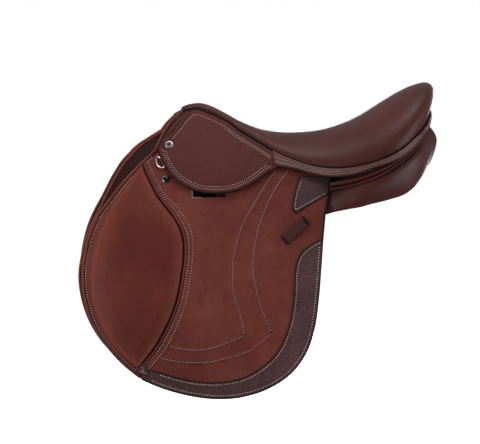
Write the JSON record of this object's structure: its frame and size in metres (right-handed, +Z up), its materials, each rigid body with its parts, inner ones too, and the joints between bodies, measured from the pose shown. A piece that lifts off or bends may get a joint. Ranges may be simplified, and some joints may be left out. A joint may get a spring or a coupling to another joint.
{
  "type": "english jumping saddle",
  "caption": "Close-contact English jumping saddle with padded forward-cut flaps that lift, small skirts, dee rings, recessed stirrup bars, girth straps and split panels on a spring tree.",
  "frame": {"origin": "on the middle plane, at the level of the horse's back directly under the deepest point of the seat", "axes": "+Z up, +X towards the cantle along the saddle's length, -Y to the rider's left (near side)"},
  "size_m": [0.5855, 0.3874, 0.4939],
  "materials": {
    "flap_leather": "smooth oiled calf leather, red brown",
    "seat_leather": "fine grained soft leather, dark brown",
    "grain_leather": "coarse grained grippy leather, purple brown",
    "panel_leather": "matt dark brown lining leather",
    "strap_leather": "firm strap leather, edge dyed",
    "beech": "laminated beech, sealed",
    "steel": "forged and tumbled",
    "polished_metal": "polished stainless",
    "black_nickel": "gloss black",
    "foam": "firm latex foam",
    "webbing": "woven tape"
  },
  "bodies": {
    "saddle": {"seat_cover": "seat_leather", "seat_foam": "foam", "seat_welt": "grain_leather", "tree_frame": "beech", "head_arch": "steel", "seat_web_long": "webbing", "seat_web_front": "webbing", "seat_web_rear": "webbing", "pommel_facing": "seat_leather", "flap_top_left": "flap_leather", "flap_top_right": "flap_leather", "flap_pad_top_left": "flap_leather", "flap_pad_top_right": "flap_leather", "flap_patch_left": "grain_leather", "flap_patch_right": "grain_leather", "skirt_top_left": "seat_leather", "skirt_top_right": "seat_leather", "skirt_nail_left": "polished_metal", "skirt_nail_right": "polished_metal", "point_stud_left": "black_nickel", "point_stud_right": "black_nickel", "seat_band_left": "seat_leather", "seat_band_right": "seat_leather", "stirrup_bar_left": "steel", "stirrup_bar_right": "steel", "catch_pin_left": "steel", "catch_pin_right": "steel", "dee_chape_left": "strap_leather", "dee_chape_right": "strap_leather", "sweat_flap_left": "panel_leather", "sweat_flap_right": "panel_leather", "knee_block_left": "panel_leather", "knee_block_right": "panel_leather", "panel_left": "panel_leather", "panel_right": "panel_leather"},
    "flap_left": {"flap_left": "flap_leather", "flap_pad_left": "flap_leather", "flap_grip_left": "grain_leather", "keeper_loop_left": "strap_leather"},
    "skirt_left": {"skirt_left": "seat_leather"},
    "stirrup_catch_left": {"stirrup_catch_left": "steel"},
    "dee_ring_left": {"dee_ring_left": "polished_metal"},
    "billet_front_left": {"billet_front_left": "strap_leather"},
    "billet_middle_left": {"billet_middle_left": "strap_leather"},
    "billet_rear_left": {"billet_rear_left": "strap_leather"},
    "flap_right": {"flap_right": "flap_leather", "flap_pad_right": "flap_leather", "flap_grip_right": "grain_leather", "keeper_loop_right": "strap_leather"},
    "skirt_right": {"skirt_right": "seat_leather"},
    "stirrup_catch_right": {"stirrup_catch_right": "steel"},
    "dee_ring_right": {"dee_ring_right": "polished_metal"},
    "billet_front_right": {"billet_front_right": "strap_leather"},
    "billet_middle_right": {"billet_middle_right": "strap_leather"},
    "billet_rear_right": {"billet_rear_right": "strap_leather"}
  },
  "joints": [
    {"name": "flap_left_lift", "type": "hinge", "parent": "saddle", "child": "flap_left", "pos_m": [-0.15, -0.1453, -0.028], "axis": [-1, 0, 0], "range_deg": [0, 90]},
    {"name": "skirt_left_lift", "type": "hinge", "parent": "saddle", "child": "skirt_left", "pos_m": [-0.1395, -0.10645, 0.058], "axis": [-0.9752, 0.1385, 0.1724], "range_deg": [0, 60]},
    {"name": "stirrup_catch_left_turn", "type": "hinge", "parent": "saddle", "child": "stirrup_catch_left", "pos_m": [-0.137, -0.10706, 0.0343], "axis": [0, -0.847, 0.5316], "range_deg": [0, 75]},
    {"name": "dee_ring_left_swing", "type": "hinge", "parent": "saddle", "child": "dee_ring_left", "pos_m": [-0.225, -0.09934, 0.054], "axis": [-0.3757, 0.5426, 0.7513], "range_deg": [0, 80]},
    {"name": "billet_front_left_swing", "type": "hinge", "parent": "saddle", "child": "billet_front_left", "pos_m": [-0.13, -0.11136, 0.02], "axis": [0, 1, 0], "range_deg": [-4, 10]},
    {"name": "billet_middle_left_swing", "type": "hinge", "parent": "saddle", "child": "billet_middle_left", "pos_m": [-0.086, -0.11136, 0.02], "axis": [0, 1, 0], "range_deg": [-4, 4]},
    {"name": "billet_rear_left_swing", "type": "hinge", "parent": "saddle", "child": "billet_rear_left", "pos_m": [-0.042, -0.11136, 0.02], "axis": [0, 1, 0], "range_deg": [-10, 4]},
    {"name": "flap_right_lift", "type": "hinge", "parent": "saddle", "child": "flap_right", "pos_m": [-0.15, 0.1453, -0.028], "axis": [1, 0, 0], "range_deg": [0, 90]},
    {"name": "skirt_right_lift", "type": "hinge", "parent": "saddle", "child": "skirt_right", "pos_m": [-0.1395, 0.10645, 0.058], "axis": [0.9752, 0.1385, -0.1724], "range_deg": [0, 60]},
    {"name": "stirrup_catch_right_turn", "type": "hinge", "parent": "saddle", "child": "stirrup_catch_right", "pos_m": [-0.137, 0.10706, 0.0343], "axis": [0, -0.847, -0.5316], "range_deg": [0, 75]},
    {"name": "dee_ring_right_swing", "type": "hinge", "parent": "saddle", "child": "dee_ring_right", "pos_m": [-0.225, 0.09934, 0.054], "axis": [0.3757, 0.5426, -0.7513], "range_deg": [0, 80]},
    {"name": "billet_front_right_swing", "type": "hinge", "parent": "saddle", "child": "billet_front_right", "pos_m": [-0.13, 0.11136, 0.02], "axis": [0, 1, 0], "range_deg": [-4, 10]},
    {"name": "billet_middle_right_swing", "type": "hinge", "parent": "saddle", "child": "billet_middle_right", "pos_m": [-0.086, 0.11136, 0.02], "axis": [0, 1, 0], "range_deg": [-4, 4]},
    {"name": "billet_rear_right_swing", "type": "hinge", "parent": "saddle", "child": "billet_rear_right", "pos_m": [-0.042, 0.11136, 0.02], "axis": [0, 1, 0], "range_deg": [-10, 4]}
  ]
}
